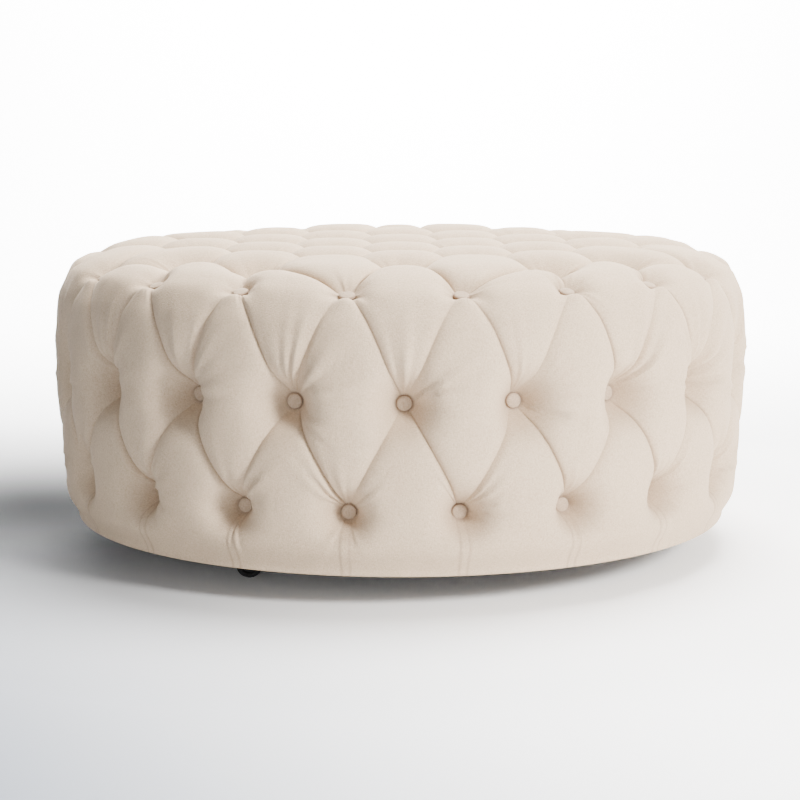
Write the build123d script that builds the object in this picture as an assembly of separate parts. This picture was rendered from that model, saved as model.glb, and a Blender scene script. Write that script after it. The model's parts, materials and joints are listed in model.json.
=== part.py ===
from build123d import *
import os
from math import acos, atan2, ceil, cos, degrees, hypot, radians, sin, sqrt

# Round deep-buttoned ottoman coffee table, on four twin-wheel casters.
# Millimetres, +Z up. The origin is on the floor under the centre, and the front faces -Y.

os.makedirs("parts", exist_ok=True)

# Tuft pattern: rings of buttons round the side, and a diamond grid over the top.
# A ring's place is where a button's back pulls the fabric in.
tufts_around = 20
rim_ring_radius, rim_ring_height = 453.0, 399.0
mid_ring_set_in, mid_ring_height = 8.0, 263.5
low_ring_set_in, low_ring_height = 7.0, 124.0
hem_flare, hem_height = 18.0, 48.0
rim_button_tilt = 68.0
upright_limit = 80.0
top_grid_rise = 5.0
top_grid_fall = 8.0
# Half a diamond's width and depth on the top, as shares of the room inside the uprights.
grid_width_share, grid_depth_share = 0.2596, 0.2094

# How far the stuffing stands out of the button seats.
side_relief, top_relief = 50.0, 34.0
hem_tuck = 6.0
crease_shares = {"side": 0.36, "pleat": 0.34}
shoulder_share, shoulder_height_share = 0.55, 0.80
lower_panel_share, hem_roll_share = 0.80, 0.66

# Cover, buttons and the twine that ties them down.
cover_thickness = 2.0
cover_turn_in = 60.0
foam_clearance = 0.3
seat_clearance = 1.0
button_radius, button_height = 11.0, 6.0
button_crown_share = 0.58
seat_margin = 3.0
twine_width = 2.0
toggle_length, toggle_width, toggle_height = 11.0, 5.0, 4.0
twine_hole_width = 4.0

# Timber frame.
wall_foam_thickness = 30.0
base_set_in, base_thickness = 16.0, 18.0
base_above_hem = 2.0
deck_thickness, deck_set_down = 12.0, 54.0
hoop_thickness, hoop_depth = 18.0, 40.0
upright_count, upright_width, upright_depth = 10, 45.0, 27.0
rail_width, rail_depth = 27.0, 45.0
joint_clearance = 0.1

# Black cloth under the base, and its staples.
dust_cover_set_in, dust_cover_thickness = 30.0, 0.8
staple_count, staple_length, staple_wire = 20, 12.0, 1.0
staple_inset = 8.0

# Casters.
caster_set_in, caster_first_angle = 90.0, -36.0
caster_names = ("front_left", "front_right", "back_right", "back_left")
plate_side, plate_thickness, plate_corner = 42.0, 2.0, 5.0
screw_radius, screw_length, screw_spacing = 2.0, 14.0, 30.0
screw_head_radius, screw_head_height = 3.6, 1.6
king_pin_radius, king_pin_length = 3.0, 11.0
king_pin_head_radius, king_pin_head_height = 4.6, 1.6
washer_radius, washer_thickness = 8.0, 1.0
boss_radius, boss_length = 8.5, 13.0
caster_trail = 16.0
wheel_radius, wheel_width = 18.0, 13.0
wheel_dish_radius, wheel_dish_depth = 12.5, 2.0
wheel_edge = 1.6
web_width = 8.0
hood_gap, hood_wall = 1.0, 1.6
hood_front_angle, hood_back_angle = 52.0, 172.0
axle_radius, axle_end_gap = 2.5, 0.4
running_clearance = 0.05
side_clearance = 0.3
cut_overrun = 5.0

# Sizes that follow from those above.
pitch = 360.0 / tufts_around
mid_ring_radius = rim_ring_radius - mid_ring_set_in
low_ring_radius = rim_ring_radius - low_ring_set_in
hem_radius = rim_ring_radius + hem_flare
frame_radius = mid_ring_radius - wall_foam_thickness
base_radius = hem_radius - base_set_in
dust_cover_radius = base_radius - dust_cover_set_in
caster_ring_radius = frame_radius - caster_set_in
grid_reach = frame_radius - hoop_thickness - upright_depth
rail_offset = grid_width_share * grid_reach / 2
top_grid_height = rim_ring_height + top_grid_rise
seat_radius = button_radius + seat_margin
seat_corner_step = 2 * degrees(acos((button_radius + seat_clearance) / seat_radius))
base_underside = hem_height + base_above_hem
deck_height = rim_ring_height - deck_set_down
deck_underside = deck_height - deck_thickness
up = Vector(0, 0, 1)


def outward(angle):
    """Level direction at an angle from the front."""
    return Vector(sin(radians(angle)), -cos(radians(angle)), 0)


def ring_place(radius, height, angle):
    return outward(angle) * radius + up * height


def grid_place(across, back):
    """Place of a button of the top grid, a little lower towards the edge."""
    flat = Vector(across * grid_width_share, back * grid_depth_share, 0) * grid_reach
    return flat + up * (top_grid_height - top_grid_fall * (flat.length / rim_ring_radius) ** 2)


def tilted(angle, tilt):
    """Direction leaning up from level by tilt degrees."""
    return outward(angle) * cos(radians(tilt)) + up * sin(radians(tilt))


def knot(name):
    """Place and outward direction of one corner of the pattern."""
    row = name[0]
    if row == "top":
        return grid_place(name[1], name[2]), up
    angle = name[1] * pitch
    if row == "rim":
        return ring_place(rim_ring_radius, rim_ring_height, angle), tilted(angle, rim_button_tilt)
    if row == "mid":
        return ring_place(mid_ring_radius, mid_ring_height, angle), outward(angle)
    if row == "low":
        return ring_place(low_ring_radius, low_ring_height, angle), outward(angle)
    return ring_place(hem_radius - (hem_tuck if row == "pleat" else 0), hem_height, angle), outward(angle)


def mirrored(name, flip_x, flip_y):
    """The same corner in another quarter of the pattern."""
    if name[0] == "top":
        return ("top", name[1] * flip_x, name[2] * flip_y)
    turn = name[1] * flip_x
    if flip_y < 0:
        turn = tufts_around / 2 - turn
    return (name[0], turn % tufts_around)


# One quarter of the top: diamonds inside the grid, then those that reach a rim button.
quarter_diamonds = [(0, -1), (0, -3), (1, 0), (1, -2), (2, -1), (2, -3), (3, 0)]
quarter_top = [[("top", i, j - 1), ("top", i + 1, j), ("top", i, j + 1), ("top", i - 1, j)]
               for i, j in quarter_diamonds]
quarter_top.append([("top", 0, -4), ("top", 1, -3), ("top", 2, -4), ("rim", 0.5)])
quarter_top.append([("top", 2, -2), ("top", 3, -3), ("rim", 3.5), ("top", 3, -1)])
# Top corners of the rim tufts, by place round the quarter.
quarter_rim = [[("top", 0, -4)], [("top", 2, -4)], [("top", 3, -3), ("top", 2, -4)],
               [("top", 3, -3)], [("top", 4, 0), ("top", 3, -1)], [("top", 4, 0)]]


def rim_tuft(place, inner):
    return [("rim", (place - 0.5) % tufts_around), ("mid", place), ("rim", place + 0.5)] + inner


def tuft_corners():
    """Corner names of every tuft, each once, with the share of relief it stands to."""
    found = {}
    for flip_x in (1, -1):
        for flip_y in (1, -1):
            quarter = list(quarter_top)
            quarter += [rim_tuft(place, inner) for place, inner in enumerate(quarter_rim)]
            for corners in quarter:
                names = [mirrored(name, flip_x, flip_y) for name in corners]
                found[frozenset(names)] = (names, 1.0)
    for place in range(tufts_around):
        half, after = place + 0.5, (place + 1) % tufts_around
        before = (place - 0.5) % tufts_around
        side = [("rim", half), ("mid", place), ("low", half), ("mid", after)]
        found[frozenset(side)] = (side, 1.0)
        panel = [("mid", place), ("low", before), ("pleat", before), ("hem", place),
                 ("pleat", half), ("low", half)]
        found[frozenset(panel)] = (panel, lower_panel_share)
    return list(found.values())


def relief(normal):
    """Stuffing depth for a direction: deep on the side, shallower on the top."""
    return side_relief + (top_relief - side_relief) * normal.Z ** 2


def is_hem(name):
    return name[0] in ("hem", "pleat")


def sunk(place, normal, inset, name=None):
    """A point of the pattern moved inwards by the layers above it."""
    if name and is_hem(name):
        return place - normal * inset + up * inset
    return place - normal * inset


def toward(name, other):
    """Direction in a button's seat towards the next corner."""
    place, normal = knot(name)
    step = knot(other)[0] - place
    return (step - normal * step.dot(normal)).normalized()


def seat_axes(normal):
    """Two directions across a button's seat."""
    first = normal.cross(up if normal.Z < sin(radians(upright_limit)) else Vector(0, 1, 0)).normalized()
    return first, normal.cross(first)


def bearing(step, normal):
    first, second = seat_axes(normal)
    return degrees(atan2(step.dot(second), step.dot(first)))


def corner_ways(name, before, after):
    """Directions from a button along one tuft's corner, its two creases included."""
    normal = knot(name)[1]
    first, second = seat_axes(normal)
    start, end = toward(name, before), toward(name, after)
    turn = (bearing(start, normal) - bearing(end, normal)) % 360
    steps = ceil(turn / seat_corner_step)
    angles = [radians(bearing(start, normal) - turn * number / steps) for number in range(1, steps)]
    return [start] + [first * cos(angle) + second * sin(angle) for angle in angles] + [end]


def core_depth(place, normal):
    """How far the foam is cored under a button: past the deck, or past the hoops."""
    if normal.Z > 0:
        return (place.Z - deck_height + seat_radius) / normal.Z
    return hypot(place.X, place.Y) - frame_radius + seat_margin


def tuft_layer(inset, cored=False):
    """Faces of the tufted surface, inset by the layers over it."""
    faces, around = [], {}

    def face(*points):
        faces.append(Face(Wire.make_polygon(points, close=True)))

    for names, height_share in tuft_corners():
        places = [knot(name) for name in names]
        buttons = [at for name, at in zip(names, places) if not is_hem(name)]
        rims = [at for name, at in zip(names, places) if name[0] == "rim"]
        middle = sum((at for at, _ in places), Vector(0, 0, 0)) / len(places)
        facing = sum((normal for _, normal in buttons), Vector(0, 0, 0)).normalized()
        if len(rims) == 2:
            middle = (rims[0][0] + rims[1][0]) / 2
            facing = (rims[0][1] + rims[1][1]).normalized()
        loop = sum((one.cross(two) for one, two in
                    zip([at - middle for at, _ in places],
                        [at - middle for at, _ in places[1:] + places[:1]])), Vector(0, 0, 0))
        if loop.dot(facing) < 0:
            names = names[::-1]
        outline, inner = [], []

        def shoulder(place, normal, share):
            blend = (facing * (1 - shoulder_share) + normal * shoulder_share).normalized()
            base = middle + (place - middle) * shoulder_share
            rise = relief(blend) * height_share * share
            inner.append(sunk(base + blend * rise, blend, inset))
            return len(inner) - 1

        for before, name, after in zip(names[-1:] + names[:-1], names, names[1:] + names[:1]):
            place, normal = knot(name)
            if is_hem(name):
                turn = shoulder(place, normal, hem_roll_share)
                outline.append((sunk(place, normal, inset, name), turn))
            else:
                turn = shoulder(place, normal, shoulder_height_share)
                ring = around.setdefault(name, {})
                for way in corner_ways(name, before, after):
                    ring[round(bearing(way, normal), 3)] = way
                    outline.append((sunk(place, normal, inset) + way * seat_radius, turn))
            other, other_normal = knot(after)
            if is_hem(name) and is_hem(after):
                continue
            edge_normal = (normal + other_normal).normalized()
            share = crease_shares["pleat" if is_hem(name) or is_hem(after) else "side"]
            base = (place + other) / 2
            crease = sunk(base + edge_normal * relief(edge_normal) * share, edge_normal, inset)
            turn = shoulder(base, edge_normal, shoulder_height_share)
            outline.append((crease, turn))
        crown = sunk(middle + facing * relief(facing) * height_share, facing, inset)
        for (one, first), (two, second) in zip(outline, outline[1:] + outline[:1]):
            face(one, two, inner[first])
            if first != second:
                face(two, inner[second], inner[first])
        for one, two in zip(inner, inner[1:] + inner[:1]):
            face(one, two, crown)

    for name, ring in around.items():
        place, normal = knot(name)
        seat = sunk(place, normal, inset)
        rim = [seat + ring[angle] * seat_radius for angle in sorted(ring)]
        if cored:
            drop = normal * core_depth(place, normal)
            for one, two in zip(rim, rim[1:] + rim[:1]):
                face(one, two, two - drop, one - drop)
            rim = [point - drop for point in rim]
        face(*rim)
    return faces


def hem_points(inset):
    """The hem's corners in order round the bottom."""
    points = []
    for place in range(tufts_around):
        for name in (("hem", place), ("pleat", place + 0.5)):
            at, normal = knot(name)
            points.append(sunk(at, normal, inset, name))
    return points


def flat_ring(points, height, radius):
    """Flat face from the hem in to a ring of as many corners."""
    hole = [ring_place(radius, height, number * pitch / 2) for number in range(2 * tufts_around)]
    return Face(Wire.make_polygon(points, close=True), [Wire.make_polygon(hole, close=True)]), hole


def closed_solid(faces):
    solid = Solid(Shell(faces))
    return solid if solid.volume > 0 else Solid(solid.wrapped.Reversed())


def cover():
    """The fabric: tufted outside and inside, turned in under the base."""
    turn_in = hem_radius - cover_turn_in
    outer_flat, outer_hole = flat_ring(hem_points(0), hem_height, turn_in)
    inner_flat, inner_hole = flat_ring(hem_points(cover_thickness), hem_height + cover_thickness, turn_in)
    walls = []
    for number in range(len(outer_hole)):
        after = (number + 1) % len(outer_hole)
        walls.append(Face(Wire.make_polygon([outer_hole[number], outer_hole[after],
                                             inner_hole[after], inner_hole[number]], close=True)))
    return closed_solid(tuft_layer(0) + tuft_layer(cover_thickness) + [outer_flat, inner_flat] + walls)


def foams():
    """Foam pressed to the same tufts, cored under each button: a top pad and a side wall."""
    inset = cover_thickness + foam_clearance
    bottom = Face(Wire.make_polygon(hem_points(inset), close=True))
    whole = closed_solid(tuft_layer(inset, cored=True) + [bottom])
    wide = 2 * (hem_radius + side_relief)
    over = Pos(0, 0, deck_height) * Box(wide, wide, wide, align=(Align.CENTER, Align.CENTER, Align.MIN))
    under = Pos(0, 0, base_underside + base_thickness) * Box(
        wide, wide, deck_height - base_underside - base_thickness,
        align=(Align.CENTER, Align.CENTER, Align.MIN))
    core = Cylinder(frame_radius + foam_clearance, 2 * deck_height)
    return whole & over, (whole & under) - core


def frame_ring(outer, inner, bottom, height):
    ring = Cylinder(outer, height, align=(Align.CENTER, Align.CENTER, Align.MIN))
    ring -= Cylinder(inner, height, align=(Align.CENTER, Align.CENTER, Align.MIN))
    return Pos(0, 0, bottom) * ring


def slab(length, width, height):
    """Box standing on z = 0."""
    return Box(length, width, height, align=(Align.CENTER, Align.CENTER, Align.MIN))


def knots_of(row):
    names = {name for corners, _ in tuft_corners() for name in corners if name[0] == row}
    return sorted(names)


def standing_on(place, normal, shape):
    """A shape turned so that its +Z points along normal, at place."""
    side = outward(degrees(atan2(place.X, -place.Y))) if hypot(place.X, place.Y) > 0 else Vector(1, 0, 0)
    across = up.cross(side)
    return Plane(origin=place, x_dir=across, z_dir=normal) * shape


def button():
    """Covered button: flat back, domed front."""
    dome = Polyline((0, 0), (button_radius, 0), (button_radius * button_crown_share, button_height),
                    (0, button_height), close=True)
    return revolve(make_face(Plane.XZ * dome), Axis.Z)


def button_row(row):
    one = button()
    return [standing_on(*knot(name), one) for name in knots_of(row)]


def twine(name):
    """Flat twine from the cover's back, down the foam's hole to the frame."""
    place, normal = knot(name)
    start = place - normal * cover_thickness
    if name[0] == "top":
        length = start.Z - deck_underside
    elif name[0] == "rim":
        length = (start.Z - deck_height - twine_width / 2 - joint_clearance) / normal.Z
    else:
        length = hypot(start.X, start.Y) - frame_radius
    strip = Box(twine_width, twine_width, length, align=(Align.CENTER, Align.CENTER, Align.MAX))
    return standing_on(start, normal, strip)


def toggle(name):
    place = knot(name)[0]
    bar = Box(toggle_length, toggle_width, toggle_height, align=(Align.CENTER, Align.CENTER, Align.MAX))
    return Pos(place.X, place.Y, deck_underside) * bar


def deck():
    holes = [Pos(knot(name)[0].X, knot(name)[0].Y, deck_underside) *
             slab(twine_hole_width, twine_hole_width, deck_thickness) for name in knots_of("top")]
    disc = Cylinder(frame_radius, deck_thickness, align=(Align.CENTER, Align.CENTER, Align.MIN))
    return Pos(0, 0, deck_underside) * disc - holes


def uprights():
    """Posts inside the hoops, from the base board to the deck."""
    inner = frame_radius - hoop_thickness
    face = sqrt(inner ** 2 - (upright_width / 2) ** 2) - joint_clearance
    bottom = base_underside + base_thickness
    post = slab(upright_width, upright_depth, deck_underside - bottom)
    step = 360 / upright_count
    return [Rot(0, 0, number * step) * Pos(0, -(face - upright_depth / 2), bottom) * post
            for number in range(upright_count)]


def hoop(middle):
    return frame_ring(frame_radius, frame_radius - hoop_thickness, middle - hoop_depth / 2, hoop_depth)


def deck_rails():
    """Two bearers under the deck, between the rows of twine, end to end of the top hoop."""
    reach = sqrt((frame_radius - hoop_thickness) ** 2 - (rail_offset + rail_width / 2) ** 2)
    rail = slab(rail_width, 2 * (reach - joint_clearance), rail_depth)
    return [Pos(side * rail_offset, 0, deck_underside - rail_depth) * rail for side in (1, -1)]


def caster_spots():
    return [(name, caster_first_angle + number * 360 / len(caster_names))
            for number, name in enumerate(caster_names)]


def at_caster(angle, shape):
    spot = outward(angle) * caster_ring_radius
    return Pos(spot.X, spot.Y, 0) * shape


plate_underside = base_underside - plate_thickness
washer_underside = plate_underside - washer_thickness
screw_places = [(x * screw_spacing / 2, y * screw_spacing / 2) for x in (1, -1) for y in (1, -1)]


def base_board():
    board = Cylinder(base_radius, base_thickness, align=(Align.CENTER, Align.CENTER, Align.MIN))
    pilots = [at_caster(angle, Pos(x, y, 0) * Cylinder(screw_radius, screw_length,
                                                       align=(Align.CENTER, Align.CENTER, Align.MIN)))
              for _, angle in caster_spots() for x, y in screw_places]
    return Pos(0, 0, base_underside) * (board - pilots)


def dust_cover():
    """Thin cloth stapled over the turned-in cover, cut round each caster."""
    top = hem_height
    cloth = Cylinder(dust_cover_radius, dust_cover_thickness, align=(Align.CENTER, Align.CENTER, Align.MAX))
    opening = plate_side + 2 * side_clearance
    cuts = [at_caster(angle, slab(opening, opening, cut_overrun).moved(Location((0, 0, -cut_overrun / 2))))
            for _, angle in caster_spots()]
    return Pos(0, 0, top) * (cloth - cuts)


def staples():
    """Staples that hold the dust cover's edge."""
    wire = Box(staple_length, staple_wire, staple_wire, align=(Align.CENTER, Align.CENTER, Align.MAX))
    place = dust_cover_radius - staple_inset
    step = 360 / staple_count
    return [Rot(0, 0, number * step) * Pos(0, -place, hem_height - dust_cover_thickness) * wire
            for number in range(staple_count)]


def caster_plate():
    plate = slab(plate_side, plate_side, plate_thickness)
    plate = fillet(plate.edges().filter_by(Axis.Z), plate_corner)
    for x, y in screw_places:
        plate -= Pos(x, y, 0) * Cylinder(screw_radius, plate_thickness,
                                         align=(Align.CENTER, Align.CENTER, Align.MIN))
    plate -= Cylinder(king_pin_radius, plate_thickness, align=(Align.CENTER, Align.CENTER, Align.MIN))
    return Pos(0, 0, plate_underside) * plate


def caster_screw(x, y):
    shank = Cylinder(screw_radius, screw_length + plate_thickness,
                     align=(Align.CENTER, Align.CENTER, Align.MIN))
    head = Cylinder(screw_head_radius, screw_head_height, align=(Align.CENTER, Align.CENTER, Align.MAX))
    return Pos(x, y, plate_underside) * (shank + head)


def king_pin():
    """Pin riveted in the plate, with the head that holds the hood up."""
    pin = Cylinder(king_pin_radius, king_pin_length + plate_thickness,
                   align=(Align.CENTER, Align.CENTER, Align.MAX))
    head = Cylinder(king_pin_head_radius, king_pin_head_height,
                    align=(Align.CENTER, Align.CENTER, Align.MAX))
    return Pos(0, 0, base_underside) * pin + Pos(0, 0, plate_underside - king_pin_length) * head


def washer():
    return frame_ring(washer_radius, king_pin_radius + running_clearance, washer_underside, washer_thickness)


def hood():
    """Swivel hood: a web between the wheels, a shroud over them and the boss of the king pin."""
    inner = wheel_radius + hood_gap
    outer = inner + hood_wall
    axle = Pos(-caster_trail, 0, wheel_radius)
    turned = Rot(90, 0, 0)
    full = web_width + 2 * (wheel_width + side_clearance)
    arc = CenterArc((0, 0), outer, hood_front_angle, hood_back_angle - hood_front_angle)
    arc_inner = CenterArc((0, 0), inner, hood_front_angle, hood_back_angle - hood_front_angle)
    ends = [Line(arc @ 0, arc_inner @ 0), Line(arc @ 1, arc_inner @ 1)]
    shroud = extrude(make_face([arc, arc_inner, *ends]), full / 2, both=True)
    web_edge = [Line(arc @ 1, (0, 0)), Line((0, 0), arc @ 0), arc]
    web = extrude(make_face(web_edge), web_width / 2, both=True)
    hub = Cylinder(wheel_dish_radius / 2, web_width)
    body = axle * turned * (shroud + web + hub)
    boss_top = washer_underside - running_clearance
    boss = Pos(0, 0, boss_top) * Cylinder(boss_radius, boss_length,
                                          align=(Align.CENTER, Align.CENTER, Align.MAX))
    body += boss
    wheel_room = axle * turned * Cylinder(inner, full)
    keep_web = axle * turned * Cylinder(inner, web_width)
    body -= wheel_room - keep_web
    body -= Pos(0, 0, boss_top) * Cylinder(king_pin_radius + running_clearance, 2 * boss_length)
    head_room = plate_underside - king_pin_length + running_clearance
    body -= Pos(0, 0, head_room) * Cylinder(king_pin_head_radius + side_clearance, 2 * boss_length,
                                            align=(Align.CENTER, Align.CENTER, Align.MAX))
    body -= axle * turned * Cylinder(axle_radius, full)
    return body


def axle_pin():
    length = web_width + 2 * (side_clearance + wheel_width - axle_end_gap)
    return Pos(-caster_trail, 0, wheel_radius) * Rot(90, 0, 0) * Cylinder(axle_radius, length)


def wheel(side):
    """Wheel with a rounded tread and a dished outer face; side is +1 behind, -1 in front."""
    near, far = web_width / 2 + side_clearance, web_width / 2 + side_clearance + wheel_width
    bore = axle_radius + running_clearance
    outline = Polyline((bore, near), (wheel_radius - wheel_edge, near), (wheel_radius, near + wheel_edge),
                       (wheel_radius, far - wheel_edge), (wheel_radius - wheel_edge, far),
                       (wheel_dish_radius, far), (wheel_dish_radius - wheel_dish_depth, far - wheel_dish_depth),
                       (bore, far - wheel_dish_depth), close=True)
    body = revolve(make_face(Plane.XZ * outline), Axis.Z)
    return Pos(-caster_trail, 0, wheel_radius) * Rot(-90 * side, 0, 0) * body


def save(name, shapes):
    shapes = shapes if isinstance(shapes, list) else [shapes]
    solids = [solid for shape in shapes for solid in shape.solids()]
    export_step(solids[0] if len(solids) == 1 else Compound(solids), f"parts/{name}.step")
    print(name, len(solids))


save("cover", cover())
top_pad, side_wall = foams()
save("top_foam", top_pad)
save("side_foam", side_wall)
for row, label in (("top", "top"), ("rim", "rim"), ("mid", "middle"), ("low", "lower")):
    save(f"{label}_buttons", button_row(row))
    save(f"{label}_twines", [twine(name) for name in knots_of(row)])
save("twine_toggles", [toggle(name) for name in knots_of("top")])
save("deck_board", deck())
save("deck_rails", deck_rails())
save("uprights", uprights())
save("lower_hoop", hoop(low_ring_height))
save("middle_hoop", hoop(mid_ring_height))
save("upper_hoop", hoop(deck_underside - hoop_depth / 2))
save("base_board", base_board())
save("dust_cover", dust_cover())
save("dust_cover_staples", staples())

spots = caster_spots()
save("caster_plates", [at_caster(angle, caster_plate()) for _, angle in spots])
save("caster_screws", [at_caster(angle, caster_screw(x, y)) for _, angle in spots for x, y in screw_places])
save("caster_king_pins", [at_caster(angle, king_pin()) for _, angle in spots])
save("caster_washers", [at_caster(angle, washer()) for _, angle in spots])
for name, angle in spots:
    save(f"{name}_hood", at_caster(angle, hood()))
    save(f"{name}_axle", at_caster(angle, axle_pin()))
    save(f"{name}_wheel_a", at_caster(angle, wheel(-1)))
    save(f"{name}_wheel_b", at_caster(angle, wheel(1)))
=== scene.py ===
# %% [markdown]
# A round, deep-buttoned ottoman table. The timber, the casters and every size come from
# the imported frame. What is made here is what the eye rests on: a fabric cover that swells
# between its buttons, the covered buttons, and a plain pale studio. This cell loads the
# frame and keeps its record.

# %% Load the frame
import json
import math

import bmesh
import bpy
import numpy as np
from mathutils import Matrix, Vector


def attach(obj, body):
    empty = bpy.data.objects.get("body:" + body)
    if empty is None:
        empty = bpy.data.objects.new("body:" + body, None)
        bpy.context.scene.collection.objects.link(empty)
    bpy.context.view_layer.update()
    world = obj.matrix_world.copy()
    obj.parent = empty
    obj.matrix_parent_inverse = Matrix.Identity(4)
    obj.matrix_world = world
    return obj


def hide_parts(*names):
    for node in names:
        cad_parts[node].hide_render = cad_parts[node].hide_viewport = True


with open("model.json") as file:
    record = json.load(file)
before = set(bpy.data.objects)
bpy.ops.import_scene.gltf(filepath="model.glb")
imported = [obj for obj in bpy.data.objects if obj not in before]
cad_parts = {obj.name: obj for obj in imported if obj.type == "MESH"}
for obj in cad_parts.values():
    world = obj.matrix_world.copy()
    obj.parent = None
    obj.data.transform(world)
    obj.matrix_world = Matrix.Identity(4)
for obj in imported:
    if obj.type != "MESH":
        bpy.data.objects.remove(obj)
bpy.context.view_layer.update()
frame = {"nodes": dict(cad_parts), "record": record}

BODY = "ottoman"
MM = 0.001
scene = bpy.context.scene

# %% [markdown]
# A node tree reads best as the sum it stands for. A small class wraps one socket, so an
# expression such as 0.4 + 0.2 * weave adds its own Math nodes, and one method adds any
# other node. Numbers that are the same all over a surface go straight on the shader.

# %% A few words for node trees
class Wire:
    """One output socket that can be added, multiplied and so on."""

    def __init__(self, tree, socket):
        self.tree, self.socket = tree, socket

    def _math(self, operation, one, two):
        node = self.tree.tree.nodes.new("ShaderNodeMath")
        node.operation = operation
        for port, value in zip(node.inputs, (one, two)):
            if isinstance(value, Wire):
                self.tree.tree.links.new(value.socket, port)
            else:
                port.default_value = value
        return Wire(self.tree, node.outputs[0])

    def __add__(self, other):
        return self._math("ADD", self, other)

    def __radd__(self, other):
        return self._math("ADD", other, self)

    def __sub__(self, other):
        return self._math("SUBTRACT", self, other)

    def __rsub__(self, other):
        return self._math("SUBTRACT", other, self)

    def __mul__(self, other):
        return self._math("MULTIPLY", self, other)

    def __rmul__(self, other):
        return self._math("MULTIPLY", other, self)


class Outputs:
    """The output sockets of one node."""

    def __init__(self, tree, node):
        self.tree, self.node = tree, node

    def out(self, name=0):
        return Wire(self.tree, self.node.outputs[name])


class Finish:
    """A material under construction, with one principled shader."""

    def __init__(self, name):
        self.material = bpy.data.materials.new(name)
        self.material.use_nodes = True
        self.tree = self.material.node_tree
        self.shader = self.tree.nodes["Principled BSDF"]
        self.place = self.node("ShaderNodeTexCoord").out("Object")

    def node(self, kind, settings=None, **values):
        made = self.tree.nodes.new(kind)
        for key, value in (settings or {}).items():
            setattr(made, key, value)
        for name, value in values.items():
            port = made.inputs[name.replace("_", " ")]
            if isinstance(value, Wire):
                self.tree.links.new(value.socket, port)
            else:
                port.default_value = value
        return Outputs(self, made)

    def noise(self, scale, detail=2.0, roughness=0.5, vector=None):
        made = self.node("ShaderNodeTexNoise", Vector=vector or self.place, Scale=scale,
                         Detail=detail, Roughness=roughness)
        return made.out("Fac")

    def stretched(self, x, y, z):
        """The place, scaled unevenly, for threads and brush marks."""
        return self.node("ShaderNodeMapping", Vector=self.place, Scale=(x, y, z)).out(0)

    def mix(self, factor, one, two):
        made = self.tree.nodes.new("ShaderNodeMix")
        made.data_type = "RGBA"
        for port, value in ((made.inputs[0], factor), (made.inputs[6], one), (made.inputs[7], two)):
            if isinstance(value, Wire):
                self.tree.links.new(value.socket, port)
            else:
                port.default_value = value
        return Wire(self, made.outputs[2])

    def bump(self, height, distance, strength=1.0):
        made = self.node("ShaderNodeBump", Height=height, Strength=strength, Distance=distance)
        return made.out(0)

    def link(self, **values):
        for name, value in values.items():
            port = self.shader.inputs[name.replace("_", " ")]
            if isinstance(value, Wire):
                self.tree.links.new(value.socket, port)
            else:
                port.default_value = value
        return self.material


# %% [markdown]
# The cover is a short-pile cloth with a fine weave that only shows up close. Its own colour
# hardly varies; what one sees is the light falling off round each tuft and a faint bloom
# of pile at grazing angles, which is what the sheen is for. Shade is also painted into the
# colour: the cloth is darker in its folds, round its buttons and between its gathers. The
# weave is two sets of stretched noise crossed over each other, so it needs no UV map and
# never slides.

# %% The cloth
FABRIC_LIGHT = (0.640, 0.500, 0.355, 1)
FABRIC_DARK = (0.400, 0.292, 0.195, 1)
# Painted shade: the dark colour that the cloth is mixed towards in its folds, round its buttons and
# between its gathers.
FABRIC_PAINTED_SHADE = (0.235, 0.165, 0.118, 1)
# Painted shade: the buttons are covered in the same cloth, given darker colours for the shade of the
# pockets they sit in.
BUTTON_SHADED_LIGHT = (0.500, 0.385, 0.280, 1)
BUTTON_SHADED_DARK = (0.305, 0.222, 0.152, 1)


def cloth_finish(name, light, dark):
    cloth = Finish(name)
    level = cloth.noise(340.0, 2.0, 0.6, cloth.stretched(1, 1, 3.0))
    upright = cloth.noise(340.0, 2.0, 0.6, cloth.stretched(2.6, 2.6, 0.8))
    weave = 0.5 * level + 0.5 * upright
    cloud = cloth.noise(14.0, 4.0)
    tone = 2.2 * weave - 0.75 + 0.3 * cloud
    colour = cloth.mix(tone, dark, light)
    # Painted shade: a point attribute darkens the cloth in folds, round buttons and between gathers,
    # where shade falls.
    painted_tuck_shade = cloth.node("ShaderNodeAttribute", {"attribute_name": "painted_tuck_shade"}).out("Fac")
    colour = cloth.mix(0.75 * painted_tuck_shade, colour, FABRIC_PAINTED_SHADE)
    rough = 0.86 + 0.12 * weave
    normal = cloth.bump(weave, 0.0012, 0.7)
    return cloth.link(Base_Color=colour, Roughness=rough, Normal=normal,
                      Sheen_Weight=0.10, Sheen_Roughness=0.4, Specular_IOR_Level=0.1,
                      Sheen_Tint=(1.0, 0.88, 0.76, 1))


COVER_CLOTH = cloth_finish("cover cloth", FABRIC_LIGHT, FABRIC_DARK)
SHADED_BUTTON_CLOTH = cloth_finish("button cloth with painted shade", BUTTON_SHADED_LIGHT, BUTTON_SHADED_DARK)
print("cloth", COVER_CLOTH.name, SHADED_BUTTON_CLOTH.name)

# %% [markdown]
# The cover is a body of revolution seen twice: once as pressed down at the buttons, once
# as swollen at the crowns. Both outlines are run through by the same length, measured
# from the middle of the top, over the rim and down the side, so any point of the cloth is
# a length, a direction and a share of the way from the pressed outline to the swollen one.

# %% The two outlines of the body
TOP_CENTRE, TOP_FALL = 404 * MM, 8 * MM
RIM_RADIUS, RIM_HEIGHT = 453 * MM, 399 * MM
MID_RADIUS, MID_HEIGHT = 445 * MM, 263.5 * MM
LOW_RADIUS, LOW_HEIGHT = 446 * MM, 124 * MM
HEM_RADIUS, HEM_HEIGHT = 471 * MM, 48 * MM


def run_at(height):
    """Length along the outline for a height on the side."""
    return RIM_RADIUS + RIM_HEIGHT - height


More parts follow.
